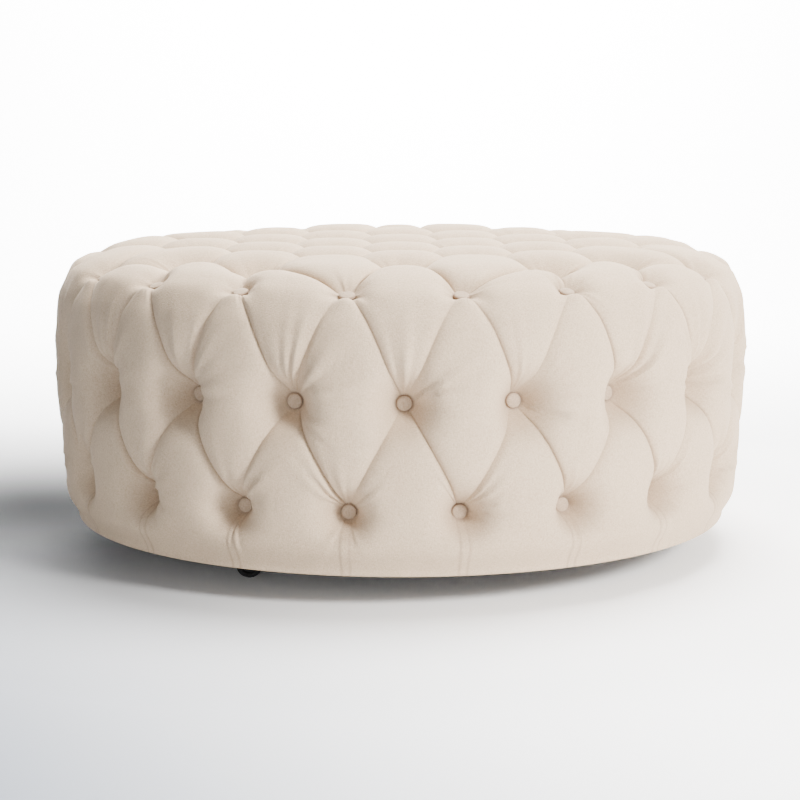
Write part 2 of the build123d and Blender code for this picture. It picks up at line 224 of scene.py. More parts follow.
CROWN_POINTS = [(0, 0, 438), (160, 160, 438.5), (310, 312, 438), (390, 402, 431.5),
                (430, 446, 421), (462, 475, 405), (500, 491.5, 368), (545, 497, 308), (588.5, 498, 263.5),
                (660, 495, 190), (728, 492, 124), (770, 488, 80), (804, 475, 50)]
PRESSED_POINTS = [(0, 0, 404), (110, 110, 403.5), (220, 220, 402.1), (330, 330, 399.8), (420, 420, 398.9),
                  (453, 453, 399), (588.5, 445, 263.5), (728, 446, 124), (804, 471, 48)]
TABLE_STEP, ROUNDING = 1.0, 14


def outline_table(points, rounding):
    runs, radii, heights = (np.array(column, float) for column in zip(*points))
    at = np.arange(0, runs[-1] + TABLE_STEP, TABLE_STEP)
    table = np.stack([np.interp(at, runs, radii), np.interp(at, runs, heights)])
    if rounding:
        weight = np.hanning(2 * rounding + 1)
        padded = np.pad(table, ((0, 0), (rounding, rounding)), mode="reflect", reflect_type="odd")
        table = np.stack([np.convolve(row, weight / weight.sum(), "valid") for row in padded])
    return at * MM, table * MM


CROWN = outline_table(CROWN_POINTS, ROUNDING)
PRESSED = outline_table(PRESSED_POINTS, 0)


def on_body(flat, share):
    """Points of the map, lifted onto the body."""
    run = np.linalg.norm(flat, axis=-1)
    way = flat / np.maximum(run, 1e-9)[..., None]
    sides = []
    for at, (radii, heights) in (PRESSED, CROWN):
        radius, height = np.interp(run, at, radii), np.interp(run, at, heights)
        sides.append(np.concatenate([way * radius[..., None], height[..., None]], axis=-1))
    return sides[0] + (sides[1] - sides[0]) * np.asarray(share)[..., None]


# %% [markdown]
# The pattern is laid out on a flat disc that is the cover unrolled: three rings of buttons
# and the hem round the outside and a diamond grid in the middle. Cells are written for
# one quarter and mirrored.

# %% Where the buttons go
AROUND = 20
PITCH = 360.0 / AROUND
RING_RUN = {"rim": RIM_RADIUS, "mid": run_at(MID_HEIGHT), "low": run_at(LOW_HEIGHT),
            "hem": run_at(HEM_HEIGHT), "pleat": run_at(HEM_HEIGHT)}
RIM_TILT = math.radians(70)
GRID_SHARE, GRID_REACH = (0.2596, 0.2094), 370
GRID_STEP = np.array(GRID_SHARE) * GRID_REACH * MM


def knot(name):
    """Place of one corner of the pattern on the flat disc."""
    if name[0] == "top":
        return np.array((name[1], name[2])) * GRID_STEP
    turn = math.radians(name[1] * PITCH)
    return np.array((math.sin(turn), -math.cos(turn))) * RING_RUN[name[0]]


def facing(name):
    """The way a button looks."""
    if name[0] == "top":
        return np.array((0.0, 0.0, 1.0))
    turn, tilt = math.radians(name[1] * PITCH), RIM_TILT if name[0] == "rim" else 0.0
    return np.array((math.sin(turn) * math.cos(tilt), -math.cos(turn) * math.cos(tilt), math.sin(tilt)))


def mirrored(name, flip_x, flip_y):
    if name[0] == "top":
        return ("top", name[1] * flip_x, name[2] * flip_y)
    turn = name[1] * flip_x
    if flip_y < 0:
        turn = AROUND / 2 - turn
    return (name[0], turn % AROUND)


QUARTER_DIAMONDS = [(0, -1), (0, -3), (1, 0), (1, -2), (2, -1), (2, -3), (3, 0)]
QUARTER_TOP = [[("top", i, j - 1), ("top", i + 1, j), ("top", i, j + 1), ("top", i - 1, j)]
               for i, j in QUARTER_DIAMONDS]
QUARTER_TOP.append([("top", 0, -4), ("top", 1, -3), ("top", 2, -4), ("rim", 0.5)])
QUARTER_TOP.append([("top", 2, -2), ("top", 3, -3), ("rim", 3.5), ("top", 3, -1)])
QUARTER_RIM = [[("top", 0, -4)], [("top", 2, -4)], [("top", 3, -3), ("top", 2, -4)],
               [("top", 3, -3)], [("top", 4, 0), ("top", 3, -1)], [("top", 4, 0)]]


def all_cells():
    """The corner names of every tuft, once."""
    found = {}
    for flip_x in (1, -1):
        for flip_y in (1, -1):
            quarter = list(QUARTER_TOP)
            for place, inner in enumerate(QUARTER_RIM):
                quarter.append([("rim", (place - 0.5) % AROUND), ("mid", place),
                                ("rim", place + 0.5)] + inner)
            for corners in quarter:
                names = [mirrored(name, flip_x, flip_y) for name in corners]
                found[frozenset(names)] = names
    for place in range(AROUND):
        half, before, after = place + 0.5, (place - 0.5) % AROUND, (place + 1) % AROUND
        for names in ([("rim", half), ("mid", place), ("low", half), ("mid", after)],
                      [("mid", place), ("low", before), ("pleat", before), ("hem", place),
                       ("pleat", half), ("low", half)]):
            found[frozenset(names)] = names
    return list(found.values())


CELLS = all_cells()
BUTTONS = sorted({name for names in CELLS for name in names if name[0] not in ("hem", "pleat")})
print(len(CELLS), "tufts and", len(BUTTONS), "buttons")

# %% [markdown]
# The share is a product of simple terms of real distances: a funnel round each button, a
# gentle fall towards each fold, and a narrow groove with rolled lips along the fold where
# the cloth is tucked. Neighbouring tufts see the same buttons and folds, so they meet
# without fitting. Short gathers run out from every button, at uneven angles.

# %% The swell of the cloth
RELIEF = 42.0 * MM
SEAT_RADIUS = 11.0 * MM
FUNNEL_LENGTH = {"top": 28.0 * MM, "rim": 15.0 * MM, "mid": 29.0 * MM, "low": 27.0 * MM}
FUNNEL_POWER = 1.1
FULLNESS, CROWN_GAIN = 3.0, 1.05
REACH = 320.0 * MM
FOLD_PIECES = 6
FOLD_FALL = {"crisp": 0.46, "soft": 0.46, "top": 0.70, "pleat": 0.06}
FOLD_FALL_LENGTH = 20.0 * MM
FOLD_DEPTH = {"crisp": 2.4 * MM, "soft": 0.8 * MM, "top": 3.5 * MM, "pleat": 2.2 * MM}
FOLD_LIP = {"crisp": 5.0 * MM, "soft": 9.0 * MM, "top": 7.0 * MM, "pleat": 2.4 * MM}
PLEAT_HALF_WIDTH = 5.5 * MM
HEM_ROLL_LENGTH = 14.0 * MM
LAP = {"crisp": 1.0 * MM, "top": 1.5 * MM}
LAP_START, LAP_REACH = 2.0 * MM, 16.0 * MM
RIM_NOSE, NOSE_REACH, NOSE_LAP = 1.6, 30.0 * MM, 0.35
NOSE_OUT, NOSE_DOWN = 0.3, 0.954
MOAT_DEPTH, MOAT_WIDTH = 1.6 * MM, 1.8 * MM
STRIP_HEIGHT, STRIP_EDGE = 1.0 * MM, 1.5 * MM
# Painted shade along folds, round button seats and between gathers: how dark it is, and how far it
# reaches.
FOLD_PAINTED_SHADE = {"crisp": 0.50, "soft": 0.16, "top": 0.50, "pleat": 0.50}
FOLD_PAINTED_SHADE_WIDTH = 1.8 * MM
SEAT_PAINTED_SHADE, SEAT_PAINTED_SHADE_REACH, GATHER_PAINTED_SHADE = 0.32, 12 * MM, 0.35
GATHER_HEIGHT = 3.4 * MM
GATHER_LENGTH = {"top": 12.0 * MM, "rim": 12.0 * MM, "mid": 24.0 * MM, "low": 17.0 * MM}
GATHER_COUNT, GATHER_WIDTH, GATHER_SEED = 10, 0.10, 7
# Most gathers lie where the cloth is slack: to the upper right of a button, seen from outside.
SLACK_SIDE, SLACK_SPREAD = math.radians(45), math.radians(55)


def is_hem(name):
    return name[0] in ("hem", "pleat")


def fold_kind(one, two):
    """How the fold between two corners is tucked."""
    if is_hem(one) and is_hem(two):
        return "hem"
    if is_hem(one) or is_hem(two):
        return "pleat"
    if one[0] == "top" or two[0] == "top":
        return "top"
    high, low = (one, two) if RING_RUN[one[0]] < RING_RUN[two[0]] else (two, one)
    turn = (low[1] - high[1] + AROUND / 2) % AROUND - AROUND / 2
    return "crisp" if turn > 0 else "soft"


def all_folds():
    found = {}
    for names in CELLS:
        for one, two in zip(names, names[1:] + names[:1]):
            kind = fold_kind(one, two)
            if kind != "hem":
                found[frozenset((one, two))] = (one, two, kind)
    return list(found.values())


FOLDS = all_folds()
SEAT = {name: on_body(knot(name), 0.0) for name in BUTTONS}


def fold_line(one, two):
    step = np.linspace(0, 1, FOLD_PIECES + 1)[:, None]
    return on_body(knot(one) * (1 - step) + knot(two) * step, np.zeros(FOLD_PIECES + 1))


def line_distance(points, line):
    """Distance from points to a line of short straight pieces."""
    best = np.full(points.shape[:-1], np.inf)
    for start, end in zip(line[:-1], line[1:]):
        way = end - start
        along = np.clip(((points - start) @ way) / (way @ way), 0, 1)
        best = np.minimum(best, np.linalg.norm(points - start - along[..., None] * way, axis=-1))
    return best


LINES = [fold_line(one, two) for one, two, _ in FOLDS]


def lip(distance, depth, width):
    """A groove whose side rolls over like the edge of a cushion."""
    near = np.clip(1 - distance / width, 0, 1)
    return -depth * (1 - np.sqrt(np.clip(1 - near ** 2, 0, 1)))


def smooth_step(value, low, high):
    step = np.clip((value - low) / (high - low), 0, 1)
    return step * step * (3 - 2 * step)


def gathers(points, name):
    """Short uneven ridges that run out from one button, most of them on its slack side."""
    way = facing(name)
    across = np.array((-way[1], way[0], 0.0)) if name[0] != "top" else np.array((1.0, 0.0, 0.0))
    across /= np.linalg.norm(across)
    from_seat = points - SEAT[name]
    angle = np.arctan2(from_seat @ np.cross(way, across), from_seat @ across)
    chance = np.random.default_rng(GATHER_SEED + BUTTONS.index(name))
    total = np.zeros(angle.shape)
    for centre in SLACK_SIDE + SLACK_SPREAD * chance.normal(0, 1, GATHER_COUNT):
        width, height = GATHER_WIDTH * chance.uniform(0.6, 1.5), chance.uniform(0.3, 1.0)
        turn = (angle - centre + math.pi) % (2 * math.pi) - math.pi
        total += height * (1 - 2 * (turn / width) ** 2) * np.exp(-(turn / width) ** 2)
    return total


def near_parts(points):
    """Buttons and folds close to a patch, with their distances."""
    middle = points.reshape(-1, 3).mean(axis=0)
    seats = [name for name in BUTTONS if np.linalg.norm(SEAT[name] - middle) < REACH]
    folds = [(fold, line_distance(points, line)) for fold, line in zip(FOLDS, LINES)
             if np.linalg.norm(line.mean(axis=0) - middle) < REACH]
    return seats, folds


def drape(flat, folds):
    """Slides the cloth sideways, so that the lower side of a crisp fold laps over the other."""
    moved = np.zeros(flat.shape)
    for (one, two, kind), away in folds:
        if kind not in LAP:
            continue
        if two[0] == "top" or RING_RUN.get(one[0], 0) > RING_RUN.get(two[0], 0):
            one, two = two, one
        start, way = knot(one), knot(two) - knot(one)
        length = np.linalg.norm(way)
        side = np.array((-way[1], way[0])) / length
        if kind == "top":
            side *= np.sign(side[0] + 1e-6)
        along = np.clip((flat - start) @ way / length ** 2, 0, 1)
        arch = np.sin(math.pi * along)
        lapping = np.where((flat - start) @ side < 0, np.sqrt(arch), 0.0)
        push = LAP[kind] * lapping * (1 - np.exp(-away / LAP_START)) * np.exp(-away / LAP_REACH)
        moved += side * push[..., None]
    return flat + moved


def seat_funnel(points, name):
    """Distance from a button's seat, how far the cloth is back out there, and a rim button's nose."""
    from_seat = points - SEAT[name]
    reach = np.linalg.norm(from_seat, axis=-1)
    away = np.clip(reach - SEAT_RADIUS, 0, None)
    nose = 0.0
    if name[0] == "rim":
        turn = math.radians(name[1] * PITCH)
        down = np.array((math.sin(turn) * NOSE_OUT, -math.cos(turn) * NOSE_OUT, -NOSE_DOWN))
        ahead = np.clip(from_seat @ down / np.maximum(reach, 1e-9), 0, 1) ** 2
        nose = ahead * np.exp(-(reach / NOSE_REACH) ** 2)
        away = np.clip(reach - SEAT_RADIUS * (1 - NOSE_LAP * ahead), 0, None) * (1 + RIM_NOSE * ahead)
    return away, 1 - np.exp(-(away / FUNNEL_LENGTH[name[0]]) ** FUNNEL_POWER), nose


def swell(flat, points, seats, folds):
    """The share of the way out for points of the map, and the painted shade they get in folds, round
    buttons and between gathers.
    """
    share, groove, nose, painted_tuck_shade = (np.full(points.shape[:-1], value) for value in (1.0, 0.0, 0.0, 0.0))
    for name in seats:
        away, funnel, tip = seat_funnel(points, name)
        share *= funnel
        nose += tip
        reach = away / GATHER_LENGTH[name[0]]
        ridges = reach * np.exp(1 - reach) * gathers(points, name)
        groove += GATHER_HEIGHT * ridges
        moat = np.exp(-(away / MOAT_WIDTH) ** 2)
        groove -= MOAT_DEPTH * moat
        # Painted shade: a dark ring in the moat round each seat, a fainter pocket round it, and the
        # troughs between gathers.
        painted_tuck_shade = np.maximum(painted_tuck_shade, np.maximum(moat, SEAT_PAINTED_SHADE * np.exp(-away / SEAT_PAINTED_SHADE_REACH)))
        painted_tuck_shade = np.maximum(painted_tuck_shade, -GATHER_PAINTED_SHADE * ridges)
    for (_, _, kind), away in folds:
        share *= 1 - FOLD_FALL[kind] * (1 - np.clip(nose, 0, 1)) * np.exp(-away / FOLD_FALL_LENGTH)
        if kind == "pleat":
            groove += STRIP_HEIGHT * (1 - smooth_step(away, PLEAT_HALF_WIDTH,
                                                      PLEAT_HALF_WIDTH + STRIP_EDGE))
            away = np.abs(away - PLEAT_HALF_WIDTH)
        groove += lip(away, FOLD_DEPTH[kind], FOLD_LIP[kind])
        # Painted shade along each fold.
        painted_tuck_shade = np.maximum(painted_tuck_shade, FOLD_PAINTED_SHADE[kind] * np.exp(-(away / FOLD_PAINTED_SHADE_WIDTH) ** 2))
    share = CROWN_GAIN * (1 - (1 - share) ** FULLNESS)
    to_hem = np.clip(RING_RUN["hem"] - np.linalg.norm(flat, axis=-1), 0, None)
    share *= 1 - np.exp(-to_hem / HEM_ROLL_LENGTH)
    return share + groove / RELIEF * np.clip(share / 0.15, 0.35, 1), painted_tuck_shade


def upholstered(flat, sink):
    """Places of the finished cloth for points of the map, and their painted shade."""
    points = on_body(flat, np.zeros(flat.shape[:-1]))
    seats, folds = near_parts(points)
    share, painted_tuck_shade = swell(flat, points, seats, folds)
    return on_body(drape(flat, folds), share - sink / RELIEF), painted_tuck_shade


# %% [markdown]
# Each tuft is cut into one patch for each corner, finer towards the folds. All patches
# are joined into one sheet and their matching edges welded. The cloth then rolls under
# the base and runs in to where it is stapled.

# %% The cover as one sheet
FINE_STEPS = np.array((0, 12, 30, 55, 85, 115, 140, 160, 180, 205, 235, 275, 330, 400, 480, 570, 670,
                       780, 890, 1000)) / 1000
COARSE_STEPS = np.linspace(0, 1, 9) ** 1.4
ROUND_REACH = 0.5
HEM_ROLL = [(470 * MM, 46.4 * MM), (467 * MM, 45.6 * MM), (457 * MM, 46.6 * MM), (415 * MM, 47.6 * MM)]
WELD = 0.3 * MM
# A few edges near the rim stay open after the weld. Their corners are welded once more.
TORN_WELD = 1.2 * MM
HEM_TOP = 60 * MM


def tuft_patches(names, steps):
    """The patches of one tuft on the flat map."""
    corners = [knot(name) for name in names]
    rims = [corner for name, corner in zip(names, corners) if name[0] == "rim"]
    middle = sum(rims) / 2 if len(rims) == 2 else sum(corners) / len(corners)
    rays = [corner - middle for corner in corners]
    turn = sum(one[0] * two[1] - one[1] * two[0] for one, two in zip(rays, rays[1:] + rays[:1]))
    if turn < 0:
        corners = corners[::-1]
    u, v = np.meshgrid(steps, steps, indexing="ij")
    longest = np.maximum(u, v)
    turned = longest / np.maximum(np.hypot(u, v), 1e-9)
    turned = 1 + (turned - 1) * np.clip(1 - longest / ROUND_REACH, 0, 1)
    u, v = u * turned, v * turned
    weights = [((1 - u) * (1 - v)), u * (1 - v), u * v, (1 - u) * v]
    for index, corner in enumerate(corners):
        after, before = corners[(index + 1) % len(corners)], corners[index - 1]
        ends = [corner, (corner + after) / 2, middle, (corner + before) / 2]
        yield sum(weight[..., None] * end for weight, end in zip(weights, ends))


def true_hem(flat):
    """Brings the straight edges of the map onto the round hem."""
    run = np.linalg.norm(flat, axis=-1)
    turn = np.degrees(np.arctan2(flat[..., 0], -flat[..., 1])) % (PITCH / 2)
    chord = math.cos(math.radians(PITCH / 4)) / np.cos(np.radians(turn - PITCH / 4)) * RING_RUN["hem"]
    below = np.clip(run - RING_RUN["low"], 0, None)
    longer = below * (RING_RUN["hem"] - RING_RUN["low"]) / (chord - RING_RUN["low"])
    return flat * ((run - below + longer) / np.maximum(run, 1e-9))[..., None]


def mesh_object(name, vertices, faces):
    mesh = bpy.data.meshes.new(name)
    mesh.from_pydata(vertices, [], faces)
    obj = bpy.data.objects.new(name, mesh)
    scene.collection.objects.link(obj)
    return obj


def at_hem(edge):
    """Whether an open edge is the hem, which is all that the rings of cloth start from."""
    return max(v.co.z for v in edge.verts) < HEM_TOP


def sheet(name, steps, sink, rings, capped=False):
    """All tufts as one mesh, sunk below the cloth, with rings of cloth below the hem."""
    points, faces, painted_shade_values = [], [], []
    size = len(steps)
    for names in CELLS:
        for flat in tuft_patches(names, steps):
            start = len(points)
            places, painted_tuck_shade = upholstered(true_hem(flat), sink)
            points.extend(places.reshape(-1, 3).tolist())
            painted_shade_values.extend(painted_tuck_shade.ravel().tolist())
            for i in range(size - 1):
                for j in range(size - 1):
                    corner = start + i * size + j
                    faces.append((corner, corner + size, corner + size + 1, corner + 1))
    obj = mesh_object(name, points, faces)
    # The painted shade of every point goes on the mesh as an attribute, for the cloth's colour.
    obj.data.attributes.new("painted_tuck_shade", "FLOAT", "POINT")
    obj.data.attributes["painted_tuck_shade"].data.foreach_set("value", painted_shade_values)
    work = bmesh.new()
    work.from_mesh(obj.data)
    bmesh.ops.remove_doubles(work, verts=work.verts, dist=WELD)
    torn = [v for v in work.verts if any(e.is_boundary and not at_hem(e) for e in v.link_edges)]
    bmesh.ops.remove_doubles(work, verts=torn, dist=TORN_WELD)
    edge = [e for e in work.edges if e.is_boundary]
    print(name, "open edges", len(edge), "of them above the hem", sum(not at_hem(e) for e in edge))
    edge = [e for e in edge if at_hem(e)]
    for radius, height in rings:
        made = bmesh.ops.extrude_edge_only(work, edges=edge)["geom"]
        ring = [part for part in made if isinstance(part, bmesh.types.BMVert)]
        edge = [part for part in made if isinstance(part, bmesh.types.BMEdge)]
        for vert in ring:
            flat = Vector((vert.co.x, vert.co.y, 0)).normalized() * radius
            vert.co = (flat.x, flat.y, height)
    if capped:
        bmesh.ops.holes_fill(work, edges=edge)
    bmesh.ops.recalc_face_normals(work, faces=work.faces)
    work.to_mesh(obj.data)
    work.free()
    obj.data.shade_smooth()
    return obj


COVER = sheet("tufted_cover", FINE_STEPS, 0.0, HEM_ROLL)
COVER.data.materials.append(COVER_CLOTH)
print("cover", len(COVER.data.vertices), "vertices")

# %% [markdown]
# The foam under the cloth follows the same tufts. Its depth is given for the usual room
# between the two outlines and shrinks with it, so it is some 10 to 15 mm on the side and
# the top, and about one at the hem. Much nearer, its coarser mesh shows through at the
# gathers. It is a wall round the timber and a pad on the deck, drawn as one piece.

# %% The foam under the cloth
FOAM_SINK = 12.0 * MM
FOAM_INSIDE = [(460 * MM, 68.5 * MM), (416 * MM, 68.5 * MM), (416 * MM, 345.5 * MM)]
FOAM = sheet("foam_core", COARSE_STEPS, FOAM_SINK, FOAM_INSIDE, capped=True)
print("foam", len(FOAM.data.vertices), "vertices")

# %% [markdown]
# The buttons are one small dome repeated, so Geometry Nodes place it: points carry the
# direction that each button faces, and the dome is set on each and turned to match.

# %% The covered buttons
BUTTON_RADIUS, BUTTON_HEIGHT = 10.4 * MM, 4.6 * MM
BUTTON_UNDERSIDE = -0.12
BUTTON_PROFILE = [(0.25, 0.985), (0.5, 0.94), (0.7, 0.86), (0.82, 0.78), (0.90, 0.66), (0.96, 0.48),
                  (1.0, 0.2), (0.97, 0.0), (0.86, BUTTON_UNDERSIDE)]
# Painted shade: the share of the radius over which a button's edge is darkened.
BUTTON_EDGE_PAINTED_SHADE = (0.86, 0.97)
BUTTON_SIDES = 32


def button_dome():
    points, faces = [], []
    for share, height in BUTTON_PROFILE:
        for side in range(BUTTON_SIDES):
            turn = 2 * math.pi * side / BUTTON_SIDES
            points.append((BUTTON_RADIUS * share * math.cos(turn),
                           BUTTON_RADIUS * share * math.sin(turn), BUTTON_HEIGHT * height))
    rings = len(BUTTON_PROFILE)
    for ring in range(rings - 1):
        for side in range(BUTTON_SIDES):
            after = (side + 1) % BUTTON_SIDES
            a, b = ring * BUTTON_SIDES, (ring + 1) * BUTTON_SIDES
            faces.append((a + side, b + side, b + after, a + after))
    top, bottom = len(points), len(points) + 1
    points += [(0, 0, BUTTON_HEIGHT), (0, 0, BUTTON_UNDERSIDE * BUTTON_HEIGHT)]
    last = (rings - 1) * BUTTON_SIDES
    for side in range(BUTTON_SIDES):
        after = (side + 1) % BUTTON_SIDES
        faces.append((top, side, after))
        faces.append((bottom, last + after, last + side))
    obj = mesh_object("button_dome", points, faces)
    # Painted shade: the edge of each button is darkened, as a dark ring where it meets the cloth.
    edge = np.linalg.norm(np.array(points)[:, :2], axis=1) / BUTTON_RADIUS
    obj.data.attributes.new("painted_tuck_shade", "FLOAT", "POINT")
    obj.data.attributes["painted_tuck_shade"].data.foreach_set("value", smooth_step(edge, *BUTTON_EDGE_PAINTED_SHADE))
    return obj


def scatter_tree(name):
    """Geometry Nodes: set a given piece on every point, turned to face its direction."""
    tree = bpy.data.node_groups.new(name, "GeometryNodeTree")
    face = tree.interface
    face.new_socket("Geometry", in_out="INPUT", socket_type="NodeSocketGeometry")
    piece = face.new_socket("Piece", in_out="INPUT", socket_type="NodeSocketObject")
    finish = face.new_socket("Finish", in_out="INPUT", socket_type="NodeSocketMaterial")
    face.new_socket("Geometry", in_out="OUTPUT", socket_type="NodeSocketGeometry")
    made = {key: tree.nodes.new(kind) for key, kind in {
        "into": "NodeGroupInput", "out": "NodeGroupOutput", "info": "GeometryNodeObjectInfo",
        "facing": "GeometryNodeInputNamedAttribute", "turn": "FunctionNodeAlignRotationToVector",
        "set": "GeometryNodeInstanceOnPoints", "real": "GeometryNodeRealizeInstances",
        "smooth": "GeometryNodeSetShadeSmooth", "finish": "GeometryNodeSetMaterial"}.items()}
    made["facing"].data_type = "FLOAT_VECTOR"
    made["facing"].inputs["Name"].default_value = "facing"
    made["turn"].axis = "Z"
    link = tree.links.new
    link(made["into"].outputs["Geometry"], made["set"].inputs["Points"])
    link(made["into"].outputs["Piece"], made["info"].inputs["Object"])
    link(made["info"].outputs["Geometry"], made["set"].inputs["Instance"])
    link(made["facing"].outputs["Attribute"], made["turn"].inputs["Vector"])
    link(made["turn"].outputs[0], made["set"].inputs["Rotation"])
    link(made["set"].outputs[0], made["real"].inputs[0])
    link(made["real"].outputs[0], made["smooth"].inputs[0])
    link(made["smooth"].outputs[0], made["finish"].inputs[0])
    link(made["into"].outputs["Finish"], made["finish"].inputs["Material"])
    link(made["finish"].outputs[0], made["out"].inputs[0])
    return tree, piece.identifier, finish.identifier


SCATTER, PIECE_INPUT, FINISH_INPUT = scatter_tree("set pieces on points")


def scattered(name, places, facings, piece, finish):
    """One plain mesh of a piece set on every place."""
    carrier = mesh_object(name + "_points", places, [])
    carrier.data.attributes.new("facing", "FLOAT_VECTOR", "POINT")
    carrier.data.attributes["facing"].data.foreach_set("vector", np.array(facings).ravel())
    live = carrier.modifiers.new("set", "NODES")
    live.node_group = SCATTER
    live[PIECE_INPUT] = piece
    live[FINISH_INPUT] = finish
    evaluated = carrier.evaluated_get(bpy.context.evaluated_depsgraph_get())
    mesh = bpy.data.meshes.new_from_object(evaluated)
    mesh.name = name
    obj = bpy.data.objects.new(name, mesh)
    scene.collection.objects.link(obj)
    bpy.data.objects.remove(carrier)
    return obj


DOME = button_dome()
SUNK = {"top": 1.0 * MM, "rim": 1.8 * MM, "mid": 1.0 * MM, "low": 1.0 * MM}
COVERED_BUTTONS = scattered("covered_buttons",
                            [tuple(SEAT[name] - facing(name) * SUNK[name[0]]) for name in BUTTONS],
                            [tuple(facing(name)) for name in BUTTONS], DOME, SHADED_BUTTON_CLOTH)
bpy.data.objects.remove(DOME)
print("buttons", len(COVERED_BUTTONS.data.vertices), "vertices")

# %% [markdown]
# All are part of the ottoman's body. The cover stands for the plain cover solid, the core
# for the two plain foams, and the domes for the four rows of plain buttons.

# %% Hand the soft pieces to the frame
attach(COVER, BODY)
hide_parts("cover")
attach(FOAM, BODY)
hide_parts("top_foam", "side_foam")
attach(COVERED_BUTTONS, BODY)
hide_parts("top_buttons", "rim_buttons", "middle_buttons", "lower_buttons")

# %% [markdown]
# The rest of the object is carried over from the frame, and gets a finish for each
# material: moulded nylon, zinc-plated steel, plywood, softwood, foam, twine, black cloth.

# %% Finishes for the frame's own pieces
def scaled(colour, share):
    return tuple(min(1, share * c) for c in colour[:3]) + (1,)


def nylon_finish(name, colour, rough):
    nylon = Finish(name)
    grain = nylon.noise(700.0, 3.0)
    wear = nylon.noise(60.0, 4.0)
    return nylon.link(Base_Color=nylon.mix(wear, colour, scaled(colour, 1.6)),
                      Roughness=rough + 0.12 * grain, Normal=nylon.bump(grain, 0.0001, 0.25))


def steel_finish(name, colour):
    steel = Finish(name)
    brushed = steel.noise(220.0, 3.0, 0.6, steel.stretched(1, 8, 1))
    return steel.link(Base_Color=steel.mix(brushed, colour, scaled(colour, 0.8)),
                      Metallic=1.0, Roughness=0.3 + 0.18 * brushed)


def wood_finish(name, light, dark, stretch):
    wood = Finish(name)
    grain = wood.noise(38.0, 6.0, 0.65, wood.stretched(*stretch))
    pores = wood.noise(240.0, 2.0, 0.5, wood.stretched(*stretch))
    return wood.link(Base_Color=wood.mix(0.8 * grain + 0.2 * pores, dark, light),
                     Roughness=0.62 + 0.2 * pores, Normal=wood.bump(grain, 0.0004, 0.3))


def plain_cloth_finish(name, light, dark, scale):
    cloth = Finish(name)
    fibre = cloth.noise(scale, 4.0, 0.7)
    return cloth.link(Base_Color=cloth.mix(fibre, dark, light), Roughness=0.86 + 0.12 * fibre,
                      Normal=cloth.bump(fibre, 0.0005, 0.5))


FINISHES = {
    "foam": plain_cloth_finish("foam", (0.86, 0.80, 0.60, 1), (0.76, 0.69, 0.48, 1), 420.0),
    "twine": plain_cloth_finish("waxed twine", (0.78, 0.72, 0.60, 1), (0.58, 0.50, 0.38, 1), 1500.0),
    "toggle_wood": wood_finish("toggle wood", (0.70, 0.54, 0.36, 1), (0.52, 0.37, 0.22, 1), (0.4, 6, 6)),
    "plywood": wood_finish("plywood", (0.76, 0.61, 0.43, 1), (0.58, 0.43, 0.27, 1), (0.5, 5, 5)),
    "frame_timber": wood_finish("softwood", (0.80, 0.65, 0.45, 1), (0.64, 0.47, 0.29, 1), (4, 4, 0.4)),
    "dust_cloth": plain_cloth_finish("dust cloth", (0.035, 0.035, 0.036, 1), (0.015, 0.015, 0.016, 1),
                                     900.0),
    "staple_steel": steel_finish("staple wire", (0.62, 0.62, 0.63, 1)),
    "caster_steel": steel_finish("zinc plate", (0.56, 0.56, 0.58, 1)),
    "caster_hood_plastic": nylon_finish("hood nylon", (0.012, 0.012, 0.012, 1), 0.36),
    "caster_wheel_plastic": nylon_finish("wheel nylon", (0.008, 0.008, 0.008, 1), 0.24),
}
FOAM.data.materials.append(FINISHES["foam"])


def give_finishes():
    given = 0
    for part in frame["record"]["subparts"]:
        finish = FINISHES.get(part["material_slot"])
        if finish is None:
            continue
        mesh = frame["nodes"][part["node"]].data
        mesh.materials.clear()
        mesh.materials.append(finish)
        given += 1
    return given


print("finishes given to", give_finishes(), "nodes")

# %% [markdown]
# The studio is a pale floor that sweeps up into a white backdrop. Four soft lamps light it:
# a key from the right front, a wide one above, a weak one from the left front, and one for
# the backdrop alone. A pale sky fills in the rest. Three things on the floor are painted into
# its material, and not cast by the lamps: a painted shadow on the left, painted shade that
# darkens the floor towards the left front, and a painted glow that grows with the distance.
# The camera has a long lens and stands nearly three metres off, just above the top.

# %% Floor, light and camera
CAMERA_DISTANCE, CAMERA_HEIGHT = 2.954, 0.651
CAMERA_PITCH, CAMERA_YAW = 8.69, 0.62
LENS, SENSOR = 91.3, 36.0
AIM_SHIFT = -0.5 / 800
FLOOR_HALF_WIDTH, FLOOR_FRONT, FLOOR_BACK, BACKDROP_TOP = 7.0, -4.5, 2.6, 6.0
SWEEP, SWEEP_STEPS = 2.0, 14
# Painted shade: how fast the floor is darkened towards the left front, and the dark blue grey it goes to.
PAINTED_FALLOFF_X, PAINTED_FALLOFF_Y = 0.85, 0.45
PAPER_PAINTED_SHADE, PAPER_LIGHT = (0.16, 0.18, 0.215, 1), (0.99, 0.99, 0.99, 1)
# Painted shadow on the floor: its middle, its size and its colour.
SHADE_X, SHADE_Y = 0.56, -0.20
SHADE_WIDTH, SHADE_DEPTH = 0.85, 0.95
SHADE_COLOUR = (0.012, 0.013, 0.014, 1)
GLOW_SCALE, GLOW_STRENGTH = 1.1, 1.3
SKY_COLOUR, SKY_STRENGTH = (0.93, 0.95, 1.0, 1), 0.22


def eased(wire):
    return wire * wire * (3.0 - 2.0 * wire)


def round_falloff(floor, **settings):
    """One at a spot of the floor, falling to nought at a distance of one scaled metre."""
    spot = floor.node("ShaderNodeMapping", Vector=floor.place, **settings).out(0)
    return floor.node("ShaderNodeTexGradient", {"gradient_type": "SPHERICAL"}, Vector=spot).out("Fac")


